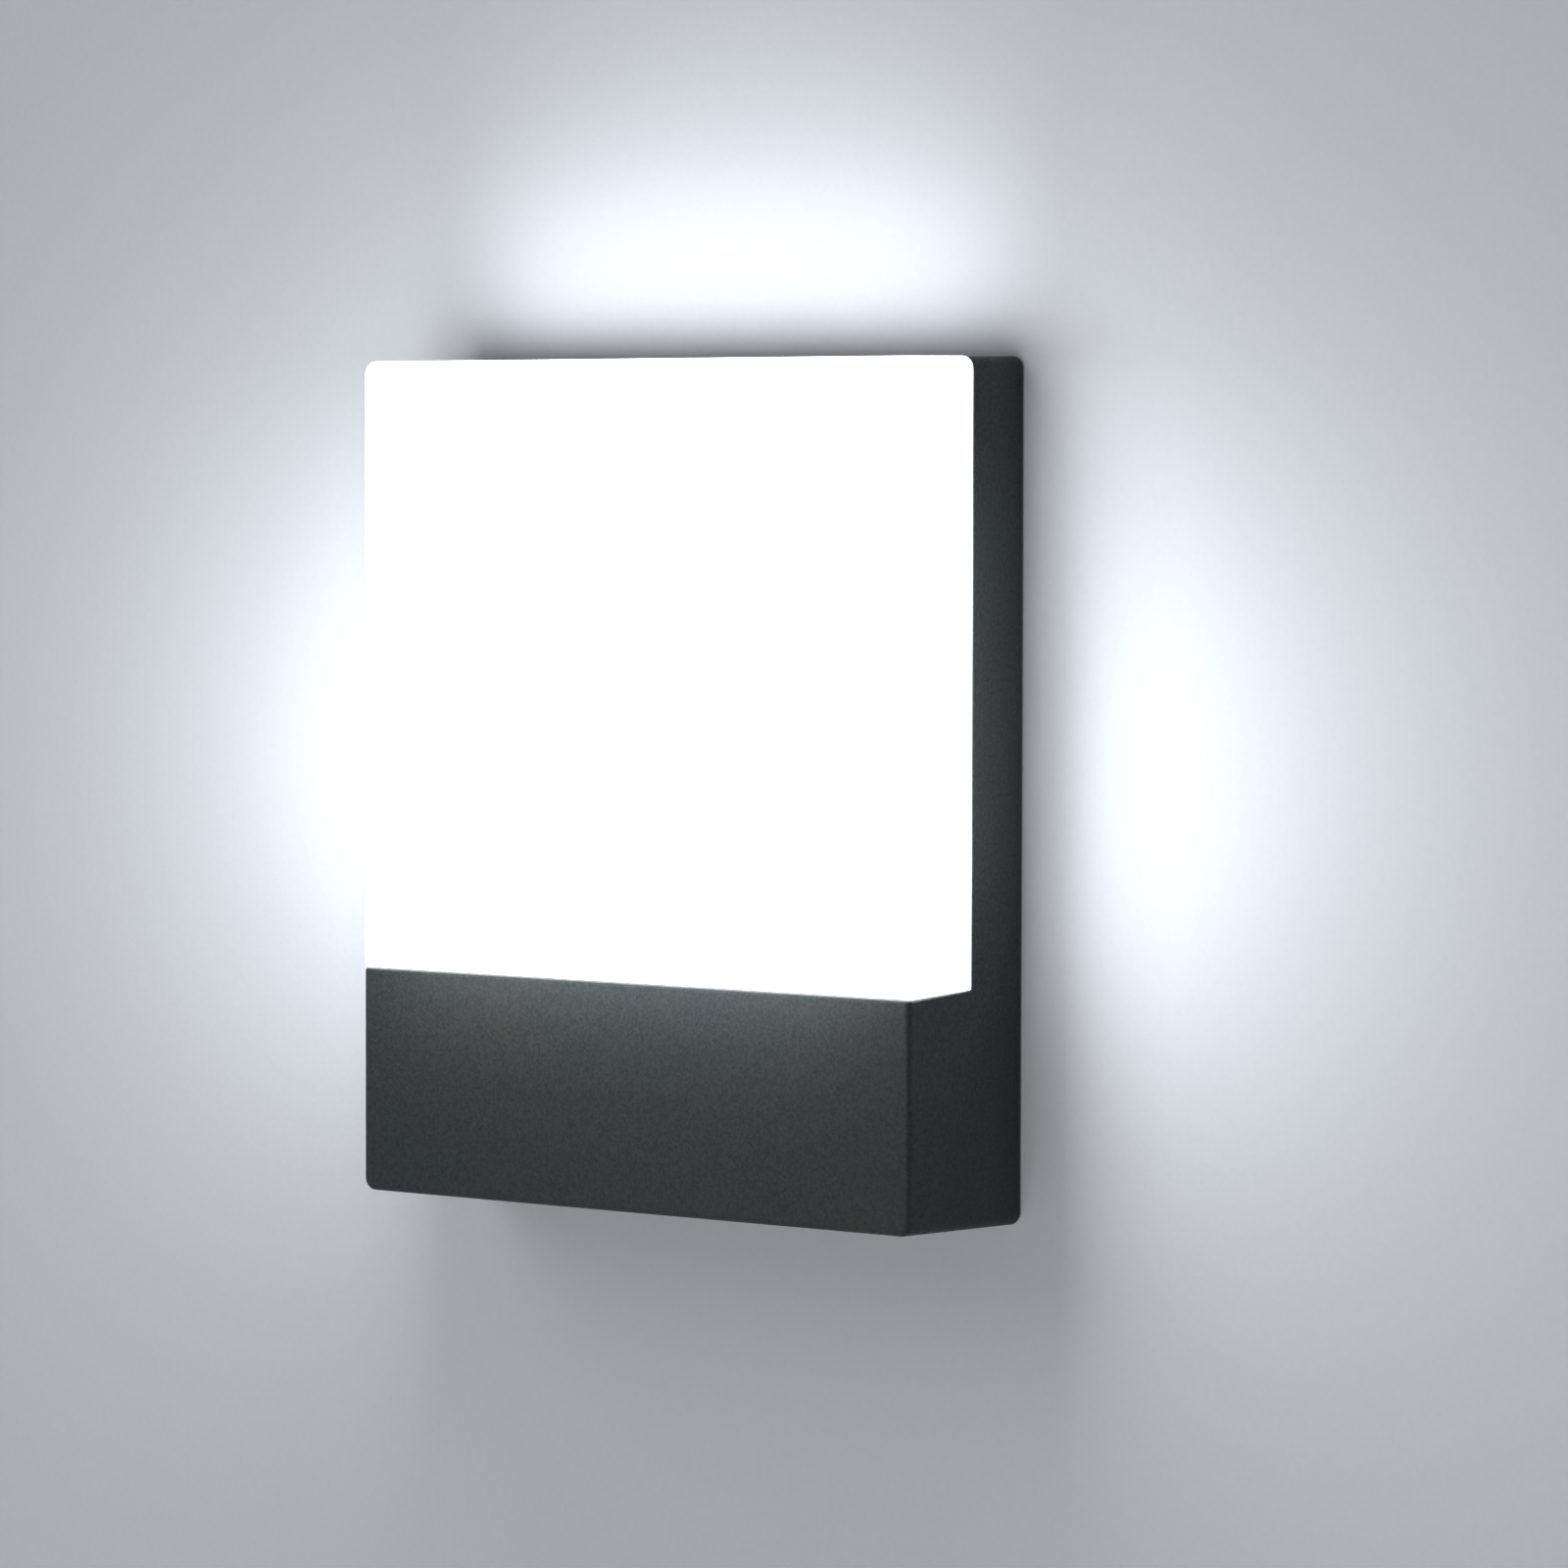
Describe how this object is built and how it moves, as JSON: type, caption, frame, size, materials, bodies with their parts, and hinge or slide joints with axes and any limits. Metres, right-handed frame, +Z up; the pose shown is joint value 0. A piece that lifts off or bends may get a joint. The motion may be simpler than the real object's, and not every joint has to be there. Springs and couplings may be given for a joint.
{
  "type": "outdoor wall light",
  "caption": "Flat outdoor LED wall light: a dark cast housing, L-shaped from the side, with a glowing opal block above its lower box, clamped to a folded wall bracket.",
  "frame": {"origin": "on the wall bracket's rear face, at the middle of the lamp's width and height; the wall plane is y = 0", "axes": "+Z up, +X to the right as seen from the room, +Y into the wall; the lamp stands in front of the wall, towards -Y"},
  "size_m": [0.2, 0.05, 0.24],
  "materials": {
    "graphite_paint": "fine-textured graphite powder coat on cast aluminium",
    "opal_plastic": "opal, satin, lit from inside",
    "zinc_steel": "zinc plated",
    "stainless_steel": "plain stainless",
    "black_rubber": "matt",
    "grey_silicone": "satin",
    "white_board": "white solder mask on an aluminium board",
    "led_phosphor": "yellow phosphor",
    "green_board": "glass-fibre board, green solder mask",
    "white_plastic": "satin moulded",
    "brass": "bare",
    "brown_insulation": "satin",
    "blue_insulation": "satin",
    "green_insulation": "satin, green with a yellow stripe",
    "red_insulation": "satin",
    "black_insulation": "satin"
  },
  "bodies": {
    "wall_bracket": {"wall_bracket": "zinc_steel"},
    "lamp": {"housing": "graphite_paint", "diffuser": "opal_plastic", "diffuser_seal": "grey_silicone", "clamp_nut_left": "zinc_steel", "clamp_nut_right": "zinc_steel", "diffuser_screw_1": "stainless_steel", "diffuser_screw_2": "stainless_steel", "diffuser_screw_3": "stainless_steel", "diffuser_screw_4": "stainless_steel", "diffuser_screw_5": "stainless_steel", "diffuser_screw_6": "stainless_steel", "led_board": "white_board", "led_01": "led_phosphor", "led_02": "led_phosphor", "led_03": "led_phosphor", "led_04": "led_phosphor", "led_05": "led_phosphor", "led_06": "led_phosphor", "led_07": "led_phosphor", "led_08": "led_phosphor", "led_09": "led_phosphor", "led_10": "led_phosphor", "led_11": "led_phosphor", "led_12": "led_phosphor", "led_board_screw_1": "stainless_steel", "led_board_screw_2": "stainless_steel", "led_board_screw_3": "stainless_steel", "led_board_screw_4": "stainless_steel", "rear_cover": "zinc_steel", "rear_cover_seal": "black_rubber", "rear_cover_screw_1": "stainless_steel", "rear_cover_screw_2": "stainless_steel", "rear_cover_screw_3": "stainless_steel", "rear_cover_screw_4": "stainless_steel", "rear_cover_screw_5": "stainless_steel", "rear_cover_screw_6": "stainless_steel", "cable_grommet": "black_rubber", "driver_case": "white_plastic", "driver_lid": "white_plastic", "driver_board": "green_board", "driver_screw_1": "stainless_steel", "driver_screw_2": "stainless_steel", "terminal_block": "white_plastic", "terminal_screw_1": "brass", "terminal_screw_2": "brass", "terminal_screw_3": "brass", "terminal_screw_4": "brass", "terminal_screw_5": "brass", "terminal_screw_6": "brass", "terminal_block_screw": "stainless_steel", "earth_screw": "stainless_steel", "earth_terminal": "zinc_steel", "live_wire": "brown_insulation", "neutral_wire": "blue_insulation", "earth_wire": "green_insulation", "led_positive_wire": "red_insulation", "led_negative_wire": "black_insulation"},
    "clamp_screw_left": {"clamp_screw_left": "stainless_steel"},
    "clamp_screw_right": {"clamp_screw_right": "stainless_steel"}
  },
  "joints": [
    {"name": "lamp_pull_off", "type": "slide", "parent": "wall_bracket", "child": "lamp", "axis": [0, -1, 0], "range_m": [0, 0.06]},
    {"name": "clamp_screw_left_turn", "type": "hinge", "parent": "lamp", "child": "clamp_screw_left", "pos_m": [-0.045, -0.006, -0.12], "axis": [0, 0, -1], "range_deg": [0, 1170]},
    {"name": "clamp_screw_right_turn", "type": "hinge", "parent": "lamp", "child": "clamp_screw_right", "pos_m": [0.045, -0.006, -0.12], "axis": [0, 0, -1], "range_deg": [0, 1170]}
  ]
}
